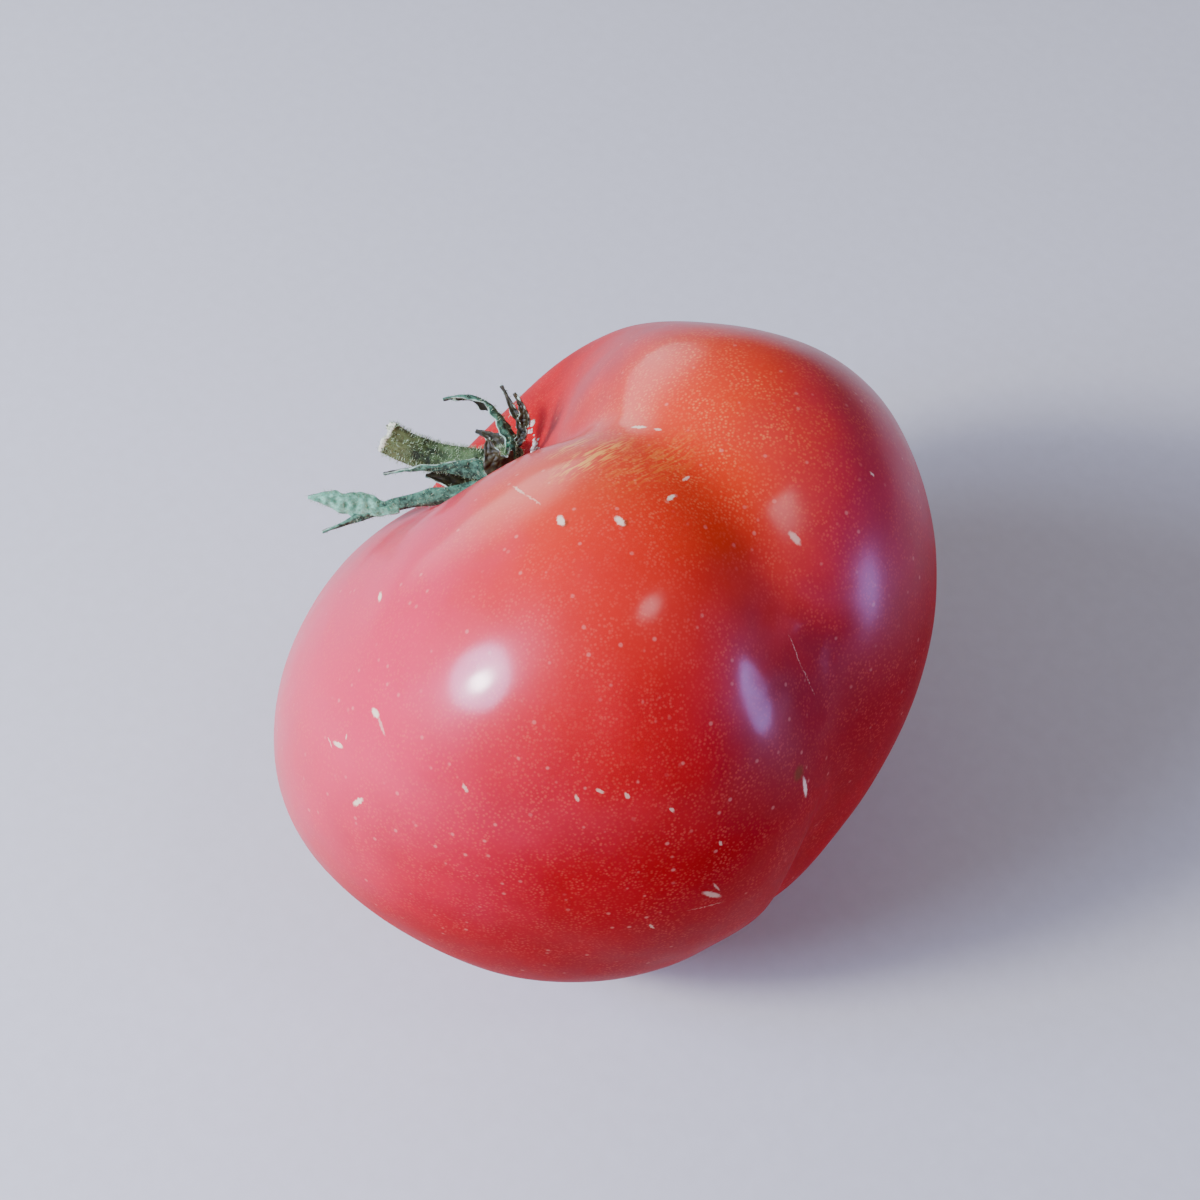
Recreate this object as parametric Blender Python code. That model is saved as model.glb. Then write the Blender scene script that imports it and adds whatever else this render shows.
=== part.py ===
"""A ripe two-lobed tomato as picked, lying on its side, with its dried calyx and a stub of stem.

Metres, +Z up. The origin is the centre of the flat spot that the fruit rests on. The stem end
points along -X and a little up, and the two big lobes lie along Y.
"""
import math

import bmesh
import bpy
from mathutils import Matrix, Vector
from mathutils.bvhtree import BVHTree

MM = 0.001

# Fruit in its own frame: +Z is the stem axis, +X the lower big lobe, +Y the cheek turned upwards.
HALF_WIDTH = 47.2 * MM          # across both big lobes
HALF_DEPTH = 43.0 * MM          # through the cheeks
SHOULDER_HEIGHT = 35.6 * MM     # centre to the top, before the stem hollow
BASE_HEIGHT = 39.7 * MM         # centre to the blossom end
LEAN = 0.217                    # the stem end leans this much towards the upper lobe, per height
TIP = 0.115                     # its top slopes this much down to the upturned cheek
HOLLOW_DEPTH = 9.8 * MM         # wide stem hollow
HOLLOW_RADIUS = 17.5 * MM
PIT_DEPTH = 2.6 * MM            # small pit in its middle, where the stem is fixed
PIT_RADIUS = 6.5 * MM
BLOSSOM_DIMPLE = 1.0 * MM
BLOSSOM_RADIUS = 5.0 * MM
FURROW_FADE = 3.0               # how soon a furrow deepens away from the stem and the blossom end
FURROW_EASE = 0.4               # share of its depth that it loses at the blossom end
FRUIT_CELLS = 22                # cells along each edge of the sphere's six patches

# How it lies: the stem axis rises from the horizontal, and the fruit is rolled about that axis.
STEM_RISE = math.radians(27.2)
ROLL = math.radians(-114.6)
REST_CUT = 1.3 * MM             # depth that the rest spot takes off the underside

# Calyx and stem. Their points are measured from the hub's middle, in the fruit's own frame.
GAP = 0.3 * MM                  # clear space between pieces that touch
HUB_PLACE = Vector((-0.7, 0.0, 2.7)) * MM       # from the floor of the pit
HUB_TILT = math.radians(50.0)   # it is pulled over towards the lower lobe
HUB_RADIUS = 2.9 * MM
HUB_FOOT = 1.4 * MM
HUB_HEIGHT = 1.9 * MM
HUB_SIDES = 20
NECK_RADIUS = 1.2 * MM          # short neck between hub and pit
NECK_SIDES = 12
SEPAL_ROOT = 2.6 * MM           # how far from the hub's middle a sepal starts
SEPAL_THICKNESS = 0.8 * MM
SEPAL_TIP_WIDTH = 0.7 * MM
SEPAL_CLEARANCE = 0.8 * MM      # middle of a blade over the skin, above the gap
SEPAL_OPENING = 0.4             # share of its length over which a blade widens from its root
SEPAL_TAPER = 2.2               # the higher, the later it narrows to its tip
SEPAL_ROWS = 11
SEPAL_COLUMNS = 5
STEM_RADIUS = 1.85 * MM
STEM_BEND = (                   # two points that pull it aside, and its torn end
    Vector((3.9, 0.0, 3.4)) * MM, Vector((8.9, 0.6, 7.8)) * MM, Vector((11.1, 1.2, 12.9)) * MM)
STEM_FLARE = 0.03               # how much wider its foot is
STEM_FLARE_EASE = 6             # how soon that ends
STEM_WIDEN = 0.18               # how much wider its torn end is
STEM_WIDEN_EASE = 1.5           # and how late it widens
STEM_RIB = 0.05
STEM_RIBS = 5
STEM_TEAR = 0.20                # unevenness of the torn end
STEM_TEAR_EASE = 12
STEM_PITH = 0.30                # width of the end's rim and, about, the depth of its hollow pith
STEM_SIDES = 14
STEM_ROWS = 12


def direction(azimuth, polar):
    return Vector((math.sin(polar) * math.cos(azimuth), math.sin(polar) * math.sin(azimuth),
                   math.cos(polar)))


class Furrow:
    """A groove between two lobes, from the stem hollow to the blossom end."""

    def __init__(self, azimuth, depth, width, curl=0.0, deepening=0.0):
        self.azimuth = math.radians(azimuth)
        self.depth = depth                      # share of the radius
        self.width = math.radians(width)
        self.curl = math.radians(curl)          # how far it turns aside below the equator
        self.deepening = deepening              # how much more it cuts near the stem

    def depth_at(self, polar, azimuth):
        high, low = max(0.0, math.cos(polar)), max(0.0, -math.cos(polar))
        middle = self.azimuth + self.curl * low * low
        away = (azimuth - middle + math.pi) % (2.0 * math.pi) - math.pi
        fade = min(1.0, FURROW_FADE * math.sin(polar)) * (1.0 + self.deepening * high * high)
        fade *= 1.0 - FURROW_EASE * low
        return self.depth * fade * math.exp(-(away / self.width) ** 2)


class Swell:
    """A place where the flesh is fuller or, below zero, flatter than the plain form."""

    def __init__(self, azimuth, polar, height, reach=0.62):
        self.towards = direction(math.radians(azimuth), math.radians(polar))
        self.height = height                    # share of the radius
        self.reach = reach

    def height_at(self, way):
        return self.height * math.exp(-(way - self.towards).length_squared / self.reach ** 2)


FURROWS = [
    Furrow(125.0, 0.125, 25.0, curl=18.0),      # the deep one between the two big lobes
    Furrow(125.0, 0.040, 10.0, curl=18.0, deepening=-0.9),      # with a narrower valley in it
    Furrow(262.0, 0.050, 17.0, deepening=-0.9),     # the hidden side has three lobes
    Furrow(318.0, 0.035, 15.0),
    Furrow(40.0, 0.012, 10.0),                  # a faint fold in the lower lobe
]
SWELLS = [
    Swell(5.0, 55.0, 0.112),                    # shoulder of the lower lobe
    Swell(355.0, 110.0, -0.055),
    Swell(42.0, 130.0, -0.11),
    Swell(86.0, 33.0, -0.04, reach=0.48),       # the upturned cheek falls away to the stem
    Swell(243.0, 41.0, 0.235, reach=0.57),      # the hidden shoulder stands high behind the calyx
    Swell(205.0, 50.0, -0.13, reach=0.45),
    Swell(205.0, 28.0, 0.027, reach=0.26),
    Swell(150.0, 125.0, 0.045),                 # flank of the upper lobe
    Swell(275.0, 125.0, 0.05),                  # underside that it has settled on
]


def fruit_point(way):
    """The skin's point in a direction seen from the fruit's centre."""
    polar = math.acos(max(-1.0, min(1.0, way.z)))
    azimuth = math.atan2(way.y, way.x)
    half = 1.0 / math.hypot(math.cos(azimuth) / HALF_WIDTH, math.sin(azimuth) / HALF_DEPTH)
    out = half * math.sin(polar)
    if way.z > 0.0:
        up = (SHOULDER_HEIGHT - TIP * out * math.sin(azimuth)) * way.z
        up -= HOLLOW_DEPTH * math.exp(-(out / HOLLOW_RADIUS) ** 2)
        up -= PIT_DEPTH * math.exp(-(out / PIT_RADIUS) ** 2)
    else:
        up = BASE_HEIGHT * way.z + BLOSSOM_DIMPLE * math.exp(-(out / BLOSSOM_RADIUS) ** 2)
    full = 1.0 - sum(furrow.depth_at(polar, azimuth) for furrow in FURROWS)
    full += sum(swell.height_at(way) for swell in SWELLS)
    return Vector((out * math.cos(azimuth) * full - LEAN * up, out * math.sin(azimuth) * full,
                   up * full))


def lying():
    """Turns the upright fruit onto its side."""
    return Matrix.Rotation(STEM_RISE - math.pi / 2.0, 3, 'Y') @ Matrix.Rotation(ROLL, 3, 'Z')


def skin_material():
    return plain_material("tomato_skin", (0.60, 0.045, 0.035), 0.34)


def calyx_material():
    return plain_material("dried_sepal", (0.20, 0.23, 0.12), 0.8)


def stem_material():
    return plain_material("green_stem", (0.17, 0.22, 0.07), 0.75)


def plain_material(name, colour, roughness):
    material = bpy.data.materials.new(name)
    material.use_nodes = True
    shader = material.node_tree.nodes["Principled BSDF"]
    shader.inputs["Base Color"].default_value = (*colour, 1.0)
    shader.inputs["Roughness"].default_value = roughness
    shader.inputs["Metallic"].default_value = 0.0
    return material


def piece(name, bm, material, parent=None, location=(0.0, 0.0, 0.0)):
    """Turns a finished mesh into a named object."""
    mesh = bpy.data.meshes.new(name)
    bmesh.ops.recalc_face_normals(bm, faces=bm.faces)
    if bm.calc_volume(signed=True) < 0.0:
        bmesh.ops.reverse_faces(bm, faces=bm.faces)
    bm.to_mesh(mesh)
    bm.free()
    mesh.materials.append(material)
    mesh.shade_smooth()
    thing = bpy.data.objects.new(name, mesh)
    bpy.context.scene.collection.objects.link(thing)
    thing.parent = parent
    thing.location = location
    return thing


def upright_fruit():
    """The whole fruit in its own frame, and the middle of the flat spot on its underside."""
    bm = bmesh.new()
    bmesh.ops.create_cube(bm, size=2.0)
    bmesh.ops.subdivide_edges(bm, edges=bm.edges, cuts=FRUIT_CELLS - 1, use_grid_fill=True)
    for vert in bm.verts:
        even = Vector([math.tan(math.pi / 4.0 * value) for value in vert.co])
        vert.co = fruit_point(even.normalized())
    down = lying().inverted() @ Vector((0.0, 0.0, -1.0))
    lowest = max(vert.co.dot(down) for vert in bm.verts)
    everything = [*bm.verts, *bm.edges, *bm.faces]
    bmesh.ops.bisect_plane(bm, geom=everything, dist=1e-6, plane_co=down * (lowest - REST_CUT),
                           plane_no=down, clear_outer=True)
    rim = [edge for edge in bm.edges if edge.is_boundary]
    spot = bmesh.ops.edgeloop_fill(bm, edges=rim)["faces"][0]
    middle = spot.calc_center_median_weighted()
    bmesh.ops.triangulate(bm, faces=bm.faces)
    return bm, middle


def bezier(course, share):
    """Place and direction on a curve from the first point to the last, pulled by the two between."""
    rest = 1.0 - share
    at = (rest ** 3 * course[0] + 3.0 * rest ** 2 * share * course[1]
          + 3.0 * rest * share ** 2 * course[2] + share ** 3 * course[3])
    along = (rest ** 2 * (course[1] - course[0]) + 2.0 * rest * share * (course[2] - course[1])
             + share ** 2 * (course[3] - course[2]))
    return at, along.normalized()


def hub_turn():
    return Matrix.Rotation(HUB_TILT, 3, 'Y')


class Sepal:
    """A dried sepal: a dished blade on a bent course, its edges rolled towards the side it faces."""

    def __init__(self, root, course, width, facing, dish=0.35, twist=0.0, root_share=0.8):
        self.course = [root, *(Vector(point) * MM for point in course)]
        self.width = width * MM
        self.facing = Vector(facing).normalized()
        self.dish = dish                        # how far the edges roll up
        self.twist = math.radians(twist)        # turn of the blade over its length
        self.root_share = root_share            # width at the root as a share of the full width

    @classmethod
    def on_hub(cls, azimuth, *shape, **more):
        """A sepal whose root is on the hub's rim."""
        azimuth = math.radians(azimuth)
        rim = Vector((math.cos(azimuth), math.sin(azimuth), 0.0)) * SEPAL_ROOT
        return cls(hub_turn() @ rim, *shape, **more)

    def prong(self, share, *shape, **more):
        """A second tip that leaves this blade partway along."""
        return Sepal(bezier(self.course, share)[0], *shape, root_share=0.4, **more)

    def spine(self, floor):
        """Points along the middle, kept clear of the skin below."""
        points = []
        for row in range(SEPAL_ROWS):
            at = bezier(self.course, row / (SEPAL_ROWS - 1))[0]
            clear = floor(at)
            if clear is not None and at.z < clear:
                at.z = clear
            points.append(at)
        return points

    def half_width(self, share):
        opening = self.root_share + (1.0 - self.root_share) * min(1.0, share / SEPAL_OPENING)
        return max(0.5 * SEPAL_TIP_WIDTH, 0.5 * self.width * opening * (1.0 - share ** SEPAL_TAPER))

    def mesh(self, floor):
        """Two alike faces of triangles, one each side of the spine, and a rim between them."""
        bm = bmesh.new()
        sheets = {1.0: [], -1.0: []}
        points = self.spine(floor)
        for row, at in enumerate(points):
            share = row / (SEPAL_ROWS - 1)
            behind, ahead = points[max(row - 1, 0)], points[min(row + 1, SEPAL_ROWS - 1)]
            along = (ahead - behind).normalized()
            side = self.facing.cross(along).normalized()
            side = Matrix.Rotation(self.twist * share, 3, along) @ side
            up = along.cross(side)
            half = self.half_width(share)
            for face, sheet in sheets.items():
                sheet.append([self.edge_point(bm, at, side, up, half, column, face)
                              for column in range(SEPAL_COLUMNS)])
        self.skin(bm, sheets)
        return bm

    def edge_point(self, bm, at, side, up, half, column, face):
        across = 2.0 * column / (SEPAL_COLUMNS - 1) - 1.0
        slope = math.atan(2.0 * self.dish * across)
        normal = up * math.cos(slope) - side * math.sin(slope)
        middle = at + side * (across * half) + up * (self.dish * half * across * across)
        return bm.verts.new(middle + normal * (0.5 * SEPAL_THICKNESS * face))

    @staticmethod
    def skin(bm, sheets):
        top, base = sheets[1.0], sheets[-1.0]
        for row in range(SEPAL_ROWS - 1):
            for column in range(SEPAL_COLUMNS - 1):
                for sheet in (top, base):
                    near, far = sheet[row], sheet[row + 1]
                    bm.faces.new((near[column], near[column + 1], far[column + 1]))
                    bm.faces.new((near[column], far[column + 1], far[column]))
        rim = [(row, 0) for row in range(SEPAL_ROWS)]
        rim += [(SEPAL_ROWS - 1, column) for column in range(1, SEPAL_COLUMNS)]
        rim += [(row, SEPAL_COLUMNS - 1) for row in range(SEPAL_ROWS - 2, -1, -1)]
        rim += [(0, column) for column in range(SEPAL_COLUMNS - 2, 0, -1)]
        for (row, column), (next_row, next_column) in zip(rim, rim[1:] + rim[:1]):
            bm.faces.new((top[row][column], top[next_row][next_column],
                          base[next_row][next_column], base[row][column]))


def calyx_blades():
    """The sepals in order round the hub, from the long one over the lower lobe's shoulder."""
    long_one = Sepal.on_hub(20.0, ((8.0, 3.0, 1.2), (14.0, 4.0, 4.6), (25.3, 4.5, 8.2)), 2.4,
                            (0.0, 0.4, 1.0))
    dark_pair = Sepal.on_hub(176.0, ((-4.2, 0.6, 1.4), (-3.6, 0.8, 5.0), (-4.8, 1.0, 8.8)), 1.4,
                             (0.6, 1.0, 0.0), dish=0.45)
    return [
        long_one,
        long_one.prong(0.66, ((19.6, 4.8, 7.6), (21.2, 5.4, 10.2), (23.8, 5.0, 12.8)), 3.2,
                       (-0.5, 1.0, 0.4)),
        Sepal.on_hub(48.0, ((4.6, 4.4, 2.0), (9.4, 4.8, 6.6), (14.4, 4.6, 9.1)), 1.5,
                     (-0.4, 0.4, 1.0)),
        Sepal.on_hub(88.0, ((3.2, 4.2, 0.2), (2.2, 4.8, 2.2), (0.9, 4.0, 4.2)), 3.8,
                     (0.4, 1.0, -0.2), dish=0.2),
        dark_pair,
        dark_pair.prong(0.32, ((-4.8, 1.9, 2.8), (-5.1, 2.4, 4.6), (-5.4, 2.6, 6.8)), 1.3,
                        (0.6, 1.0, 0.0)),
        Sepal.on_hub(204.0, ((-2.6, -1.4, 6.0), (-3.2, -1.0, 10.0), (2.4, -0.6, 12.4)), 2.4,
                     (1.0, 0.2, -0.2), dish=0.4, twist=25.0),
        Sepal.on_hub(262.0, ((-1.0, -4.4, 2.0), (0.0, -6.6, 4.4), (1.6, -8.0, 7.2)), 3.0,
                     (0.2, 1.0, 1.0)),
        Sepal.on_hub(350.0, ((5.2, -0.1, -1.5), (7.8, 1.2, 0.8), (10.8, 2.2, 3.4)), 2.6,
                     (-0.5, 0.1, 1.0), dish=0.2, twist=-45.0, root_share=0.4),
    ]


def build_calyx(parent, hub_middle, fruit_bm):
    """The hub on its neck, with the sepals, all one dried body."""
    skin = BVHTree.FromBMesh(fruit_bm)

    def floor(at):
        """Lowest height for the middle of a blade over this place."""
        above = hub_middle + Vector((at.x, at.y, HALF_WIDTH))
        hit = skin.ray_cast(above, Vector((0.0, 0.0, -1.0)))[0]
        return None if hit is None else hit.z - hub_middle.z + GAP + SEPAL_CLEARANCE

    bm = bmesh.new()
    bmesh.ops.create_cone(bm, cap_ends=True, segments=HUB_SIDES, radius1=HUB_FOOT,
                          radius2=HUB_RADIUS, depth=HUB_HEIGHT, matrix=hub_turn().to_4x4())
    hub = piece("calyx", bm, calyx_material(), parent, hub_middle)
    parts = [sepal.mesh(floor) for sepal in calyx_blades()]
    parts.append(neck_mesh(skin, hub_middle))
    for number, part in enumerate(parts):
        blade = piece(f"sepal_{number}", part, calyx_material(), parent, hub_middle)
        blade.hide_render = True
        blade.display_type = 'WIRE'
        join = hub.modifiers.new(f"join_{number}", 'BOOLEAN')
        join.operation = 'UNION'
        join.solver = 'EXACT'
        join.object = blade
    return hub


def neck_mesh(skin, hub_middle):
    """The short upright neck that stands just off the pit's floor."""
    rim = [hub_middle + direction(2.0 * math.pi * step / NECK_SIDES, math.pi / 2.0) * NECK_RADIUS
           for step in range(NECK_SIDES)]
    highest = max(skin.ray_cast(point, Vector((0.0, 0.0, -1.0)))[0].z for point in rim)
    length = hub_middle.z - highest - GAP
    bm = bmesh.new()
    bmesh.ops.create_cone(bm, cap_ends=True, segments=NECK_SIDES, radius1=NECK_RADIUS,
                          radius2=NECK_RADIUS, depth=length,
                          matrix=Matrix.Translation((0.0, 0.0, -0.5 * length)))
    return bm


def build_stem(parent, hub_middle):
    """The stub of stem: a bent, faintly ribbed stalk, flared at its foot and at its torn end."""
    foot = hub_turn() @ Vector((0.0, 0.0, 0.5 * HUB_HEIGHT + GAP))
    course = [foot, *STEM_BEND]
    bm = bmesh.new()
    rings = []
    for row in range(STEM_ROWS):
        share = row / (STEM_ROWS - 1)
        at, along = bezier(course, share)
        side = Vector((0.0, 1.0, 0.0)).cross(along).normalized()
        front = along.cross(side)
        radius = STEM_RADIUS * (1.0 + STEM_FLARE * (1.0 - share) ** STEM_FLARE_EASE
                                + STEM_WIDEN * share ** STEM_WIDEN_EASE)
        ring = []
        for corner in range(STEM_SIDES):
            angle = 2.0 * math.pi * corner / STEM_SIDES
            ribbed = radius * (1.0 + STEM_RIB * math.cos(STEM_RIBS * angle))
            torn = STEM_TEAR * STEM_RADIUS * math.sin(2.0 * angle) * share ** STEM_TEAR_EASE
            ring.append(bm.verts.new(at + (side * math.cos(angle) + front * math.sin(angle)) * ribbed
                                     + along * torn))
        rings.append(ring)
    for near, far in zip(rings, rings[1:]):
        for corner in range(STEM_SIDES):
            after = (corner + 1) % STEM_SIDES
            bm.faces.new((near[corner], near[after], far[after], far[corner]))
    base = bm.faces.new(rings[0])
    end = bm.faces.new(rings[-1])
    pith = bmesh.ops.inset_region(bm, faces=[end], thickness=STEM_PITH * STEM_RADIUS)
    bmesh.ops.translate(bm, vec=along * (-STEM_PITH * STEM_RADIUS), verts=end.verts)
    bmesh.ops.triangulate(bm, faces=[*pith["faces"], end, base])
    return piece("stem", bm, stem_material(), parent, hub_middle)


def build():
    for old in list(bpy.data.objects):
        bpy.data.objects.remove(old)
    fruit_bm, rest_spot = upright_fruit()
    axis = bpy.data.objects.new("fruit_axis", None)
    bpy.context.scene.collection.objects.link(axis)
    turned = lying().to_4x4()
    axis.matrix_world = Matrix.Translation(turned @ -rest_spot) @ turned
    hub_middle = fruit_point(Vector((0.0, 0.0, 1.0))) + HUB_PLACE
    build_calyx(axis, hub_middle, fruit_bm)
    build_stem(axis, hub_middle)
    piece("fruit", fruit_bm, skin_material(), axis)


build()
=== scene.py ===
"""A ripe two-lobed tomato with its dried calyx and stub of stem, dressed over its solid model."""
import math
import random

import bmesh
import bpy
from mathutils import Euler, Matrix, Vector, noise
from mathutils.bvhtree import BVHTree


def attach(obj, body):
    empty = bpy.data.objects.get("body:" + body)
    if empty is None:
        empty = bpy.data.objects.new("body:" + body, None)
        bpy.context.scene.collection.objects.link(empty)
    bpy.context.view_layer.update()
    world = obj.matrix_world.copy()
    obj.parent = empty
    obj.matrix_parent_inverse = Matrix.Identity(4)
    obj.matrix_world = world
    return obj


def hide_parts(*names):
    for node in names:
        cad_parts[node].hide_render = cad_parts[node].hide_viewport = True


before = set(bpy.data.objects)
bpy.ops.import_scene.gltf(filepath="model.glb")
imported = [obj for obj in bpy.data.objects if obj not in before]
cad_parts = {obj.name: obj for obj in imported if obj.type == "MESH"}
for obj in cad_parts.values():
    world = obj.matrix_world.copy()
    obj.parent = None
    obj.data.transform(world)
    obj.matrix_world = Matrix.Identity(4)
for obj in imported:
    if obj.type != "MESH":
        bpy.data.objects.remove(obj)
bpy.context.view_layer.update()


# Camera: as the fruit was seen, from above its upturned cheek, with the stem to the left.
# Pixels all through the script are those of the 1200-pixel picture, and lengths are in metres.
MM = 0.001
FRUIT_CENTRE = Vector((0.8, 2.7, 44.3)) * MM
CAMERA_AZIMUTH = math.radians(45.0)
CAMERA_ELEVATION = math.radians(54.0)
CAMERA_DISTANCE = 262.0 * MM        # to the plane through the fruit's centre
IMAGE_SIZE = 1200.0
CENTRE_PIXEL = (611.8, 649.3)       # where the fruit's centre shows in the picture
LENS = 60.0
SENSOR = 36.0
FOCAL_PIXELS = LENS / SENSOR * IMAGE_SIZE

back = Vector((math.sin(CAMERA_AZIMUTH) * math.cos(CAMERA_ELEVATION),
               -math.cos(CAMERA_AZIMUTH) * math.cos(CAMERA_ELEVATION),
               math.sin(CAMERA_ELEVATION)))
right = Vector((0.0, 0.0, 1.0)).cross(back).normalized()
up = back.cross(right)
half_image = 0.5 * IMAGE_SIZE
eye = (FRUIT_CENTRE + back * CAMERA_DISTANCE
       - right * ((CENTRE_PIXEL[0] - half_image) / FOCAL_PIXELS * CAMERA_DISTANCE)
       + up * ((CENTRE_PIXEL[1] - half_image) / FOCAL_PIXELS * CAMERA_DISTANCE))
camera = bpy.data.objects.new("camera", bpy.data.cameras.new("camera"))
bpy.context.scene.collection.objects.link(camera)
bpy.context.scene.camera = camera
camera.data.lens = LENS
camera.data.sensor_width = SENSOR
camera.data.clip_start = 10.0 * MM
camera.matrix_world = Matrix.Translation(eye) @ Matrix((right, up, back)).transposed().to_4x4()


def sight(pixel):
    """Direction from the eye through a pixel of the 1200-pixel picture."""
    across = (pixel[0] - half_image) / FOCAL_PIXELS
    down = (pixel[1] - half_image) / FOCAL_PIXELS
    return (right * across - up * down - back).normalized()


# Fruit: one fleshy berry in a thin waxy skin, grown in two big lobes round a deep furrow. The CAD
# fruit is copied, merged, turned back into quads and smoothed, and then gets the slight waves of a
# real skin. They only go inwards, so the fruit stays inside its solid.
FRUIT_TURN = Euler((1.05633, 0.37927, -1.77709))      # from the fruit's own frame, +Z its stem axis
HUB_MIDDLE = Vector((-5.734, 0.0, 27.088)) * MM       # in that frame
WAVES = ((16.0 * MM, 0.30 * MM), (6.0 * MM, 0.10 * MM))     # length and height
SAME_PLACE = 0.01 * MM                # corners nearer than this are one
QUAD_ANGLE = math.radians(60)
SPOT_HEIGHT = 0.5 * MM                # below it is the flat spot that it rests on, left flat
own_to_row = Matrix.Translation(FRUIT_CENTRE) @ FRUIT_TURN.to_matrix().to_4x4()


def deselect():
    if bpy.context.object and bpy.context.object.mode != 'OBJECT':
        bpy.ops.object.mode_set(mode='OBJECT')
    bpy.ops.object.select_all(action='DESELECT')


def choose(thing):
    deselect()
    thing.select_set(True)
    bpy.context.view_layer.objects.active = thing


def finish_modifier(thing, kind, **settings):
    """Adds a modifier and applies it."""
    choose(thing)
    modifier = thing.modifiers.new(kind.lower(), kind)
    for name, value in settings.items():
        setattr(modifier, name, value)
    bpy.ops.object.modifier_apply(modifier=modifier.name)


def tree_of(thing):
    mesh = thing.data
    return BVHTree.FromPolygons([vert.co.copy() for vert in mesh.vertices],
                                [tuple(face.vertices) for face in mesh.polygons])


cad_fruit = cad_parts["fruit"]
fruit = bpy.data.objects.new("fruit_skin", cad_fruit.data.copy())
bpy.context.scene.collection.objects.link(fruit)
choose(fruit)
bpy.ops.object.mode_set(mode='EDIT')
bpy.ops.mesh.select_all(action='SELECT')
bpy.ops.mesh.remove_doubles(threshold=SAME_PLACE)
bpy.ops.mesh.tris_convert_to_quads(face_threshold=QUAD_ANGLE, shape_threshold=QUAD_ANGLE)
bpy.ops.mesh.normals_make_consistent(inside=False)
bpy.ops.object.mode_set(mode='OBJECT')
finish_modifier(fruit, 'SUBSURF', levels=2, render_levels=2)
for vert, normal in zip(fruit.data.vertices, [v.normal.copy() for v in fruit.data.vertices]):
    if vert.co.z < SPOT_HEIGHT:
        continue
    dent = sum(height * (0.5 + 0.5 * noise.noise(vert.co / length)) for length, height in WAVES)
    vert.co -= normal * dent
fruit.data.shade_smooth()
skin_tree = tree_of(fruit)


def on_skin(pixel):
    """The place and outward normal on the fruit's skin that shows at a pixel of the picture."""
    place, normal, _, _ = skin_tree.ray_cast(eye, sight(pixel))
    return place, normal


def colour(code):
    """An sRGB hex colour as linear RGBA."""
    parts = [int(code[step:step + 2], 16) / 255.0 for step in (1, 3, 5)]
    return [part / 12.92 if part <= 0.04045 else ((part + 0.055) / 1.055) ** 2.4
            for part in parts] + [1.0]


def add(tree, kind, sockets=(), **settings):
    """Adds a node with its settings; sockets pairs an input with a value or another node's output."""
    node = tree.nodes.new(kind)
    for name, value in settings.items():
        setattr(node, name, value)
    for name, value in sockets:
        if isinstance(value, bpy.types.NodeSocket):
            tree.links.new(value, node.inputs[name])
        else:
            node.inputs[name].default_value = value
    return node


def new_material(name):
    material = bpy.data.materials.new(name)
    material.use_nodes = True
    return material, material.node_tree, material.node_tree.nodes["Principled BSDF"]


def blend_colour(tree, share, first, second):
    """Colours first to second by share; either may be an output."""
    mix = add(tree, "ShaderNodeMix", data_type='RGBA')
    for socket, value in ((mix.inputs[0], share), (mix.inputs[6], first), (mix.inputs[7], second)):
        if isinstance(value, bpy.types.NodeSocket):
            tree.links.new(value, socket)
        else:
            socket.default_value = value
    return mix.outputs[2]


def ramp(tree, value, low, high, to_low=0.0, to_high=1.0):
    node = add(tree, "ShaderNodeMapRange", (("Value", value), ("From Min", low), ("From Max", high),
                                            ("To Min", to_low), ("To Max", to_high)),
               interpolation_type='SMOOTHSTEP')
    return node.outputs[0]


def maths(tree, operation, first, second=0.0):
    return add(tree, "ShaderNodeMath", ((0, first), (1, second)), operation=operation).outputs[0]


def patch(tree, coords, place, size, turn=(0.0, 0.0, 0.0), soft=0.5):
    """1 inside an ellipsoid round a place, 0 outside, with a soft rim."""
    moved = add(tree, "ShaderNodeMapping", (("Vector", coords), ("Location", place),
                                            ("Rotation", turn), ("Scale", size)),
                vector_type='TEXTURE')
    away = add(tree, "ShaderNodeVectorMath", ((0, moved.outputs[0]),), operation='LENGTH')
    return ramp(tree, away.outputs["Value"], 1.0 + soft, 1.0 - soft)


# Middle in the picture, radius in mm, softness of the rim, colour, share. The first three are painted
# shade: darker red low down, on the right cheek and in the valley. The fourth and the last are
# painted sheen, pinker on the left and right cheeks. The rest are the skin's own tones, the orange
# ones its shoulder.
SKIN_TONES_SHADE_AND_SHEEN = (((660, 830), 30.0, 0.8, "#980008", 0.75), ((880, 650), 20.0, 0.7, "#8e1420", 0.7),
              ((800, 700), 9.0, 0.9, "#8a1a26", 0.6), ((350, 650), 26.0, 0.7, "#e42a54", 0.8),
              ((660, 480), 19.0, 0.6, "#de2c02", 0.95), ((730, 400), 17.0, 0.6, "#dc3406", 0.85),
              ((560, 470), 10.0, 0.6, "#d83a08", 0.8), ((600, 620), 15.0, 0.9, "#d41008", 0.7),
              ((880, 460), 13.0, 0.8, "#b4203c", 0.7))
FAR_SHOULDER = (700, 410)
# Golden strokes: the way they slant, then the middle, half sizes in mm and share of each field.
STROKE_SLANT = ((575, 466), (609, 447))
STROKE_FIELDS = (((592, 456), (5.0, 2.2, 3.0), 0.85), ((572, 446), (3.4, 1.0, 2.0), 0.7),
                 ((650, 462), (6.0, 3.0, 4.0), 0.25))
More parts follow.
